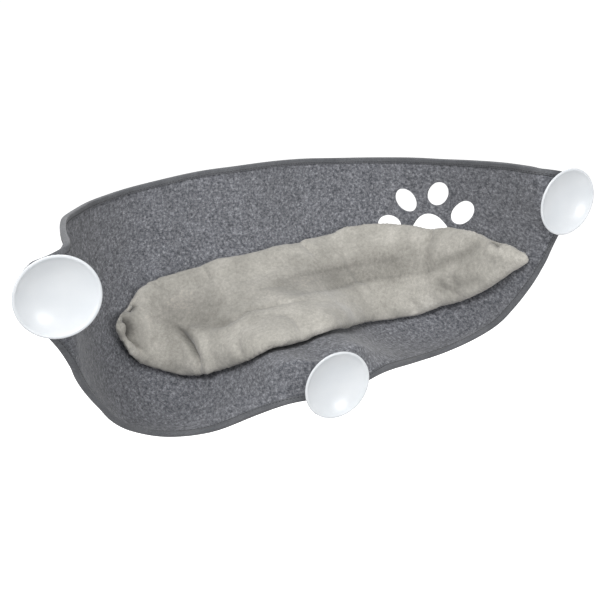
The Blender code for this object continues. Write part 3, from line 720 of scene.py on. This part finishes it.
# Folds of the top layer: points (place, share) along each, its width and depth, and how far the cloth swells up
# beside it, on the left where that is positive and on the right where it is negative
folds = (
    (((-2.54, 0.596), (-2.15, 0.567), (-1.75, 0.552), (-1.54, 0.525), (-1.33, 0.485), (-1.22, 0.465)),
     0.009, 0.005, 0.0),
    (((-1.64, 0.51), (-1.43, 0.488), (-1.24, 0.468)), 0.007, 0.0045, 0.0),
    (((-1.22, 0.465), (-1.11, 0.466), (-0.89, 0.493), (-0.55, 0.486), (0.02, 0.49), (0.61, 0.47)),
     0.0045, 0.0034, -0.0014),
    (((0.85, 0.661), (2.07, 0.672), (3.41, 0.679), (4.47, 0.687)), 0.01, 0.0024, 0.0012),
    (((0.61, 0.528), (1.58, 0.549), (2.8, 0.573), (4.36, 0.602), (5.49, 0.601)), 0.008, 0.0036, -0.002),
    (((0.5, 0.59), (1.8, 0.612), (3.1, 0.628), (4.4, 0.645), (5.3, 0.64)), 0.02, 0.006, 0.0),
    (((5.49, 0.601), (5.92, 0.599), (6.63, 0.588), (7.01, 0.608)), 0.0085, 0.0052, 0.0024),
    (((-2.54, 0.578), (-2.35, 0.536), (-2.25, 0.475), (-2.24, 0.44), (-2.24, 0.392), (-2.27, 0.353),
      (-2.4, 0.335)), 0.0042, 0.0115, 0.005),
    (((-4.46, 0.618), (-4.33, 0.586), (-4.21, 0.558), (-4.01, 0.524)), 0.003, 0.011, -0.005),
    (((-4.45, 0.684), (-4.33, 0.68), (-4.27, 0.661), (-4.31, 0.628), (-4.38, 0.6)), 0.0056, 0.018, 0.0),
    (((-3.98, 0.704), (-3.84, 0.712), (-3.7, 0.72)), 0.0042, 0.011, 0.0),
    (((7.36, 0.622), (7.48, 0.575), (7.74, 0.505)), 0.0036, 0.0075, -0.0045),
    (((5.4, 0.776), (5.42, 0.748), (5.28, 0.725)), 0.0055, 0.0045, 0.0012),
    (((5.05, 0.728), (5.45, 0.728), (5.75, 0.722)), 0.005, 0.0026, 0.0),
    (((5.48, 0.5), (5.72, 0.445), (5.88, 0.388)), 0.009, 0.0028, 0.0012),
    (((5.98, 0.53), (5.93, 0.42)), 0.0075, 0.0028, 0.0),
    (((-3.18, 0.745), (-3.02, 0.705)), 0.004, 0.003, 0.001),
    (((-2.95, 0.69), (-2.7, 0.655)), 0.0045, 0.0022, 0.001),
    (((-1.5, 0.8), (-1.4, 0.765), (-1.35, 0.735)), 0.0045, 0.0038, 0.001),
    (((-2.78, 0.777), (-2.7, 0.75)), 0.004, 0.0034, 0.0),
    (((1.46, 0.818), (1.56, 0.785), (1.6, 0.755)), 0.0045, 0.0038, 0.001),
    (((-0.05, 0.325), (0.02, 0.36), (0.05, 0.4)), 0.006, 0.0032, 0.0),
    (((4.3, 0.36), (4.38, 0.4), (4.4, 0.44)), 0.006, 0.003, 0.0),
    (((-1.44, 0.255), (-1.4, 0.3), (-1.3, 0.34)), 0.006, 0.0028, 0.0),
    (((3.00, 0.815), (3.2, 0.77), (3.3, 0.735)), 0.007, 0.0022, 0.0),
    (((6.6, 0.48), (7.1, 0.43), (7.6, 0.4)), 0.008, 0.0024, 0.0),
    (((0.6, 0.44), (1.6, 0.43), (2.6, 0.44)), 0.014, 0.0018, 0.0),
)
# Strokes of painted shade and painted highlight on the plush. They darken creases, hollows and broad patches where
# shade falls,
# and lighten strips that catch the light: points (place, share) along each, width, and how much lighter it is
# painted, or darker where that is negative
painted_shade_strokes = (
    (((-3.6, 0.66), (-2.9, 0.655), (-2.35, 0.64), (-1.75, 0.63), (-1.1, 0.615)), 0.036, -0.38),
    (((-0.6, 0.6), (0.49, 0.612), (1.46, 0.632), (2.56, 0.64), (4.47, 0.66), (5.2, 0.655)), 0.024, -0.36),
    (((0.2, 0.64), (0.85, 0.661), (2.07, 0.672), (3.41, 0.679), (4.47, 0.687)), 0.0036, -0.18),
    (((0.2, 0.52), (0.61, 0.528), (1.58, 0.549), (2.8, 0.573), (4.36, 0.602), (5.49, 0.601)), 0.004, -0.22),
    (((5.2, 0.603), (5.92, 0.599), (6.63, 0.588), (7.01, 0.608)), 0.006, -0.26),
    (((-1.95, 0.56), (-1.64, 0.51), (-1.43, 0.485), (-1.22, 0.465)), 0.01, -0.18),
    (((-1.11, 0.48), (-0.55, 0.5), (0.02, 0.505)), 0.006, -0.16),
    (((-4.47, 0.684), (-4.33, 0.68), (-4.25, 0.661), (-4.3, 0.628), (-4.38, 0.595)), 0.0088, -0.8),
    (((-4.62, 0.64), (-4.58, 0.62), (-4.53, 0.6)), 0.004, -0.3),
    (((-4.02, 0.702), (-3.84, 0.711), (-3.66, 0.72)), 0.0062, -0.62),
    (((-4.5, 0.6), (-4.43, 0.573), (-4.27, 0.537), (-4.08, 0.508)), 0.005, 0.48),
    (((-2.54, 0.578), (-2.35, 0.536), (-2.25, 0.475), (-2.24, 0.44), (-2.24, 0.392), (-2.27, 0.353)),
     0.005, -0.38),
    (((-1.95, 0.46), (-1.64, 0.427), (-1.22, 0.383), (-0.67, 0.403)), 0.019, 0.15),
    (((6.02, 0.516), (5.6, 0.5), (5.3, 0.47)), 0.01, -0.1),
    (((7.34, 0.63), (7.46, 0.582), (7.72, 0.51)), 0.0036, -0.7),
    (((7.6, 0.56), (7.95, 0.45), (8.35, 0.33), (8.75, 0.215)), 0.012, 0.16),
    (((4.3, 0.385), (5.05, 0.425), (5.82, 0.393), (6.41, 0.358), (6.87, 0.322), (7.5, 0.264), (8.26, 0.184),
      (8.78, 0.132)), 0.0075, 0.3),
)
points = mat_points()
normals = np.array([tuple(vertex.normal) for vertex in mat.data.vertices])
felt_side = np.array([on_felt(point)[1] for point in points])
is_top = (normals * felt_side).sum(1) > 0.05
top_points = points[is_top]


def beside_stroke(knots, reach):
    """Top points near a stroke through (place, share) knots: indices, distances, side, and fade at its ends."""
    turns = np.linspace(0, len(knots) - 1, 36)
    track = np.array([np.interp(turns, range(len(knots)), [knot[axis] for knot in knots]) for axis in range(2)]).T
    ease_inside(track, 6)
    line = np.array([mat_top(place, share) for place, share in track])
    low, high = line.min(0) - reach - stroke_margin, line.max(0) + reach + stroke_margin
    inside = np.flatnonzero(((top_points > low) & (top_points < high)).all(1))
    upward = felt_side[is_top][inside]
    offsets = top_points[inside][:, None] - line[None]
    offsets -= (offsets * upward[:, None]).sum(2)[:, :, None] * upward[:, None]
    distances = np.linalg.norm(offsets, axis=2)
    nearest = distances.argmin(1)
    chosen = range(len(inside))
    heading = np.gradient(line, axis=0)[nearest]
    side = np.sign((np.cross(heading, offsets[chosen, nearest]) * upward).sum(1))
    fade = np.sin(math.pi * (nearest + 0.8) / (len(line) + 0.6)) ** 0.5
    return inside, distances[chosen, nearest], side, fade


sink = np.zeros(len(top_points))
for knots, width, depth, rise in folds:
    inside, away, side, fade = beside_stroke(knots, fold_margin + 4 * width + (crest_margin if rise else 0.0))
    side = side * (1 if rise >= 0 else -1)
    steep = np.where(side > 0, steep_side, gentle_side) if rise else 1.0
    trough = np.exp(-(away / (width * steep)) ** 2)
    crest = np.where(side > 0, np.exp(-((away - 2.2 * width - 0.003) / (1.2 * width + 0.003)) ** 2), 0.0)
    sink[inside] += fade * (depth * trough - abs(rise) * crest)
# Painted shade and painted highlight for each top point, summed from the strokes
painted_shade_amount = np.zeros(len(top_points))
for knots, width, change in painted_shade_strokes:
    inside, away, side, fade = beside_stroke(knots, 3 * width)
    painted_shade_amount[inside] += fade * change * np.exp(-(away / width) ** 2)
# 0.5 is the plush's own colour, lower is painted shade and higher is painted highlight
painted_shade_and_highlight = np.full(len(points), 0.5)
painted_shade_and_highlight[is_top] = 0.5 * (1 + np.clip(painted_shade_amount, -0.80, 0.5))


def ripple(point, size, shift):
    """Smooth noise from -1 to 1 with features of about one size."""
    return mathutils_noise.noise(Vector(point) / size + Vector((shift, shift, shift)))


ripples = np.array([slow_ripple * ripple(point, 0.042, 3.1) + quick_ripple * ripple(point, 0.016, 7.7)
                    for point in points])
points[is_top] -= normals[is_top] * sink[:, None]
points += normals * ripples[:, None]
for index, point in enumerate(points):
    away = seam_finder.find(point)[2]
    if away < seam_band:
        tuck = seam_tuck * math.exp(-(away / tuck_width) ** 2)
        pucker = seam_pucker * math.exp(-(away / pucker_width) ** 2) * ripple(point, 0.008, 1.3)
        points[index] = point - normals[index] * (tuck + pucker)
for index, point in enumerate(points):
    spot, normal = on_felt(point)
    height = (point - spot).dot(normal)
    if height < mat_base:
        points[index] = point + normal * (mat_base - height)
set_mat_points(points)
mat.data.attributes.new("painted_shade_and_highlight", "FLOAT", "POINT").data.foreach_set("value", painted_shade_and_highlight)
mat.data.polygons.foreach_set("use_smooth", [True] * len(mat.data.polygons))
mat.data.update()

plush, shader = new_material("taupe_plush_pile", 0.95, (0.39, 0.38, 0.35))
place = object_place(shader)
pile = noise(place, 900.0, 2.0, 0.6)
tufts = noise(place, 240.0, 3.0, 0.6)
brushed = noise(place, 26.0, 3.0, 0.55)
tone = ramp(brushed, ((0.30, (0.350, 0.337, 0.305)), (0.50, (0.420, 0.405, 0.368)), (0.70, (0.486, 0.468, 0.428))))
specks = ramp(tufts, ((0.30, (0.42, 0.42, 0.42)), (0.70, (0.58, 0.58, 0.58))))
hairs = ramp(pile, ((0.30, (0.42, 0.42, 0.42)), (0.70, (0.60, 0.60, 0.60))))
colour = overlay(0.9, tone, specks)
colour = overlay(0.7, colour, hairs)
# The painted shade and painted highlight of the strokes is overlaid on the plush's colour
painted_shade_value = new_node(shader, "ShaderNodeAttribute")
painted_shade_value.attribute_name = "painted_shade_and_highlight"
painted_shade_colour = ramp(painted_shade_value.outputs["Fac"], ((0.0, (0.0, 0.0, 0.0)), (1.0, (1.0, 1.0, 1.0))))
colour = overlay(1.0, colour, painted_shade_colour)
plug(colour, shader, "Base Color")
shader.inputs["Sheen Weight"].default_value = 0.45
shader.inputs["Sheen Roughness"].default_value = 0.45
shader.inputs["Specular IOR Level"].default_value = 0.15
bump(shader, ((brushed, 0.25, 0.004), (tufts, 0.5, 0.0012), (pile, 0.4, 0.0004)))
mat.data.materials.clear()
mat.data.materials.append(plush)
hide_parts("cushion_mat")
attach(mat, "mat")


# Suction cups
# Soft milky-white vinyl discs, 85 mm across, dished on the glass side, with a thin sealing lip and a solid neck
# that is moulded round the head of the stud.
cup_turns = 96
cup_radius = 0.0425
dish_radius = 0.0388
dish_depth = 0.0095
dish_edge = 0.0009
back_radius = 0.0412
back_edge = 0.0013
back_rise = 0.0115
neck_foot_radius = 0.0155
neck_foot = 0.01127
neck_sweep, neck_rise = 0.0042, 0.0045
dish_steps, back_steps, neck_steps = 16, 11, 6
cup_profile = []
for index in range(dish_steps + 1):
    radius = dish_radius * index / dish_steps
    cup_profile.append((radius, dish_edge + (dish_depth - dish_edge) * (1 - (radius / dish_radius) ** 2.6)))
cup_profile += [(0.0392, 0.0005), (0.0397, 0.0002), (0.0404, 0.00005), (0.0410, 0.0), (0.0416, 0.0001),
                (0.0421, 0.0004), (0.0424, 0.0008), (cup_radius, 0.0012), (0.0424, 0.0015), (0.0421, 0.0017)]
for index in range(back_steps + 1):
    radius = back_radius - (back_radius - neck_foot_radius) * index / back_steps
    cup_profile.append((radius, back_edge + back_rise * (1 - (radius / cup_radius) ** 2)))
for index in range(1, neck_steps + 1):
    turn = math.pi / 2 * index / neck_steps
    cup_profile.append((neck_foot_radius - neck_sweep * math.sin(turn),
                        neck_foot + neck_rise * (1 - math.cos(turn))))
cup_profile += [(0.0110, 0.0175), (0.0110, 0.0219), (0.0108, 0.0224), (0.0103, 0.0226), (0.0046, 0.0226),
                (0.0043, 0.0223), (0.0043, 0.0188), (0.0078, 0.0188), (0.0078, 0.0152), (0.0, 0.0152)]


def spun(name, profile, turns):
    """Body spun round the Y axis from a profile of (radius, distance from the glass)."""
    bpy.ops.mesh.primitive_plane_add(size=0.001)
    body = bpy.context.object
    body.name = name
    bpy.ops.object.mode_set(mode="EDIT")
    bpy.ops.mesh.select_all(action="SELECT")
    bpy.ops.mesh.merge(type="CENTER")
    bpy.ops.transform.translate(value=(profile[0][0], profile[0][1], 0.0))
    for start, end in zip(profile, profile[1:]):
        bpy.ops.mesh.extrude_region_move(
            TRANSFORM_OT_translate={"value": (end[0] - start[0], end[1] - start[1], 0.0)})
    bpy.ops.mesh.select_all(action="SELECT")
    bpy.ops.mesh.spin(steps=turns, angle=2 * math.pi, center=(0.0, 0.0, 0.0), axis=(0.0, 1.0, 0.0))
    bpy.ops.mesh.select_all(action="SELECT")
    bpy.ops.mesh.remove_doubles(threshold=0.00001)
    bpy.ops.mesh.normals_make_consistent(inside=False)
    bpy.ops.object.mode_set(mode="OBJECT")
    bpy.ops.object.shade_smooth_by_angle(angle=math.radians(35))
    return body


def copy_to(body, name, x, z):
    """Copy with its own mesh, moved in its mesh to a stud's place."""
    made = add_object(name, body.data.copy())
    made.data.transform(Matrix.Translation((x, 0.0, z)))
    return made


def roughness_between(shader, source, low, high):
    """Let a pattern move the shader's roughness between two values."""
    span = new_node(shader, "ShaderNodeMapRange")
    span.inputs["To Min"].default_value = low
    span.inputs["To Max"].default_value = high
    plug(source, span, "Value")
    plug(span.outputs["Result"], shader, "Roughness")


cup_body = spun("cup", cup_profile, cup_turns)
vinyl, shader = new_material("milky_vinyl", 0.25, (0.74, 0.76, 0.78))
place = object_place(shader)
cloudy = noise(place, 30.0, 2.0)
scuffs = noise(place, 260.0, 3.0, 0.6)
plug(ramp(cloudy, ((0.3, (0.69, 0.72, 0.75)), (0.7, (0.74, 0.765, 0.79)))), shader, "Base Color")
roughness_between(shader, scuffs, 0.23, 0.29)
shader.inputs["Subsurface Weight"].default_value = 0.25
shader.inputs["Subsurface Radius"].default_value = (0.004, 0.004, 0.004)
shader.inputs["Subsurface Scale"].default_value = 1.0
shader.inputs["IOR"].default_value = 1.5
bump(shader, ((cloudy, 0.06, 0.0010),))
cup_body.data.materials.append(vinyl)
for side, (x, z) in stud_places.items():
    cup = copy_to(cup_body, side + "_cup_disc", x, z)
    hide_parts(side + "_suction_cup")
    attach(cup, side + "_cup")
bpy.data.objects.remove(cup_body, do_unlink=True)


# Studs and eyelets
# Zinc-plated steel studs stand in the cups' necks, and a nickel-plated eyelet lines each hole in the felt.
# They are the modelled ones, with a plated finish.
zinc, shader = new_material("zinc_plate", 0.35, (0.62, 0.63, 0.66))
shader.inputs["Metallic"].default_value = 1.0
place = object_place(shader)
spangle = noise(place, 700.0, 3.0, 0.6)
plug(ramp(spangle, ((0.3, (0.55, 0.56, 0.59)), (0.7, (0.68, 0.69, 0.71)))), shader, "Base Color")
bump(shader, ((spangle, 0.2, 0.0001),))
nickel, shader = new_material("nickel_plate", 0.2, (0.72, 0.71, 0.69))
shader.inputs["Metallic"].default_value = 1.0
place = object_place(shader)
polish = noise(place, 500.0, 3.0, 0.6, (1.0, 0.1, 1.0))
roughness_between(shader, polish, 0.15, 0.30)
bump(shader, ((polish, 0.1, 0.0001),))
for side in stud_places:
    for node, look in ((side + "_threaded_stud", zinc), (side + "_eyelet", nickel)):
        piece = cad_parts[node]
        piece.data.materials.clear()
        piece.data.materials.append(look)


# Washers
# Flat grey nylon washers between the felt's eyelet and the knob, with softly rounded edges.
bore_radius = 0.0043
flange_radius = 0.0105
washer_start = 0.0289
washer_profile = [(radius, washer_start + rise) for radius, rise in (
    (bore_radius, 0.0002), (0.0045, 0.0), (0.0101, 0.0), (flange_radius, 0.0004), (flange_radius, 0.0011),
    (0.0101, 0.0015), (0.0045, 0.0015), (bore_radius, 0.0013), (bore_radius, 0.0002))]
washer_body = spun("washer", washer_profile, 64)
nylon, shader = new_material("grey_nylon", 0.45, (0.28, 0.29, 0.31))
place = object_place(shader)
grain = noise(place, 900.0, 2.0, 0.6)
plug(ramp(grain, ((0.3, (0.25, 0.26, 0.28)), (0.7, (0.31, 0.32, 0.34)))), shader, "Base Color")
bump(shader, ((grain, 0.2, 0.0001),))
washer_body.data.materials.append(nylon)
for side, (x, z) in stud_places.items():
    washer = copy_to(washer_body, side + "_flat_washer", x, z)
    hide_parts(side + "_washer")
    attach(washer, "hammock")
bpy.data.objects.remove(washer_body, do_unlink=True)


# Screw knobs
# Moulded white knobs with a flange, a waist, six finger flutes and a sunk end, screwed on the studs from the room
# side. All edges of the grip are rounded over.
knob_start = 0.0307
knob_height = 0.015
knob_radius = 0.0145
collar_height = 0.0035
flute_count = 6
flute_radius = 0.006
flute_bite = 0.0028
flute_length = 0.03
flute_inset = 0.007
end_rim = 0.0030
end_slope, end_sink = 0.0004, 0.0014
round_over_width = 0.0006
grip_height = knob_height - collar_height
knob_end = knob_start + knob_height
knob_body = rod(96, knob_radius, grip_height, (0.0, knob_start + collar_height + grip_height / 2, 0.0))
knob_body.name = "knob"
bpy.ops.object.transform_apply(location=True, rotation=True, scale=True)


def choose_cap(body, distance):
    """Go into edit mode with only the face square to Y at a distance from the glass selected."""
    for part in (body.data.vertices, body.data.edges, body.data.polygons):
        part.foreach_set("select", [False] * len(part))
    for face in body.data.polygons:
        if abs(face.center.y - distance) < 1e-5 and abs(face.normal.y) > 0.9:
            face.select = True
    bpy.ops.object.mode_set(mode="EDIT")
    bpy.ops.mesh.select_mode(type="FACE")


choose_cap(knob_body, knob_end)
bpy.ops.mesh.inset(thickness=end_rim)
bpy.ops.mesh.inset(thickness=end_slope, depth=-end_sink)
bpy.ops.object.mode_set(mode="OBJECT")
flute_ring_radius = knob_radius + flute_radius - flute_bite
flute_turns = [2 * math.pi * number / flute_count for number in range(flute_count)]
cut_out(knob_body, [rod(48, flute_radius, flute_length, (flute_ring_radius * math.cos(turn), knob_end - flute_inset,
                                                         flute_ring_radius * math.sin(turn)))
                    for turn in flute_turns])
round_over = knob_body.modifiers.new("round over", "BEVEL")
round_over.width = round_over_width
round_over.segments = 3
round_over.limit_method = "ANGLE"
round_over.angle_limit = math.radians(30)
bpy.ops.object.modifier_apply(modifier="round over")
bpy.ops.object.shade_smooth_by_angle(angle=math.radians(40))
collar_profile = [(radius, knob_start + rise) for radius, rise in (
    (bore_radius, 0.0122), (bore_radius, 0.0002), (0.0045, 0.0), (0.0101, 0.0), (flange_radius, 0.0004),
    (flange_radius, 0.0016), (0.0101, 0.0020), (0.0093, 0.0022), (0.0090, 0.0026), (0.0090, 0.0042),
    (bore_radius, 0.0122))]
collar = spun("collar", collar_profile, 64)
white_plastic, shader = new_material("white_plastic", 0.4, (0.80, 0.82, 0.84))
place = object_place(shader)
grain = noise(place, 700.0, 2.0, 0.6)
soft = noise(place, 60.0, 2.0)
plug(ramp(soft, ((0.3, (0.76, 0.78, 0.80)), (0.7, (0.83, 0.85, 0.87)))), shader, "Base Color")
bump(shader, ((grain, 0.15, 0.0001),))
knob_body.data.materials.append(white_plastic)
collar.data.materials.append(white_plastic)
select_only(knob_body, collar)
bpy.ops.object.join()
for side, (x, z) in stud_places.items():
    knob = copy_to(knob_body, side + "_knob_grip", x, z)
    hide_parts(side + "_screw_knob")
    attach(knob, side + "_knob")
bpy.data.objects.remove(knob_body, do_unlink=True)


# Camera, floor and light
# The camera stands outside the window, 25 degrees to the left of square and 22 degrees above, with a 50 mm lens.
camera_data = bpy.data.cameras.new("camera")
camera_data.lens = 49.98
camera_data.sensor_width = 36.0
camera = add_object("camera", camera_data)
turn, tilt, roll = math.radians(24.97), math.radians(21.88), math.radians(-2.14)
ahead = Vector((math.sin(turn) * math.cos(tilt), math.cos(turn) * math.cos(tilt), -math.sin(tilt)))
level = Vector((math.cos(turn), -math.sin(turn), 0.0))
above = level.cross(ahead)
right = level * math.cos(roll) + above * math.sin(roll)
above = above * math.cos(roll) - level * math.sin(roll)
facing = Matrix((right, above, -ahead)).transposed().to_4x4()
camera.matrix_world = Matrix.Translation((-0.41803, -0.76854, 0.28600)) @ facing
bpy.context.scene.camera = camera

bpy.ops.mesh.primitive_plane_add(size=400.0, location=(0.0, 0.0, -0.95))
floor = bpy.context.object
floor.name = "floor"
pale, shader = new_material("pale_floor", 0.9, (0.93, 0.93, 0.93))
shader.inputs["Emission Color"].default_value = (1.0, 1.0, 1.0, 1.0)
shader.inputs["Emission Strength"].default_value = 0.72
floor.data.materials.append(pale)
floor.visible_diffuse = False

bpy.context.scene.view_settings.view_transform = "Standard"
world = bpy.data.worlds.new("room")
world.use_nodes = True
daylight = world.node_tree.nodes["Background"]
daylight.inputs["Color"].default_value = (1.0, 1.0, 1.0, 1.0)
daylight.inputs["Strength"].default_value = 0.37
bpy.context.scene.world = world


def soft_light(name, place, target, size, power):
    """Square area light that faces a target."""
    data = bpy.data.lights.new(name, "AREA")
    data.size = size
    data.energy = power
    lamp = add_object(name, data)
    lamp.location = place
    lamp.rotation_euler = (Vector(target) - Vector(place)).to_track_quat("-Z", "Y").to_euler()


soft_light("key", (0.56, -1.85, 0.12), (0.0, 0.05, -0.08), 0.55, 11.0)
soft_light("fill", (-1.70, -0.90, 0.50), (0.0, 0.10, -0.1), 0.8, 6.0)
soft_light("top", (-0.80, -0.95, 1.80), (0.0, 0.15, -0.1), 1.2, 41.0)
soft_light("back", (0.40, 2.40, 1.10), (0.0, 0.30, -0.1), 1.2, 30.0)
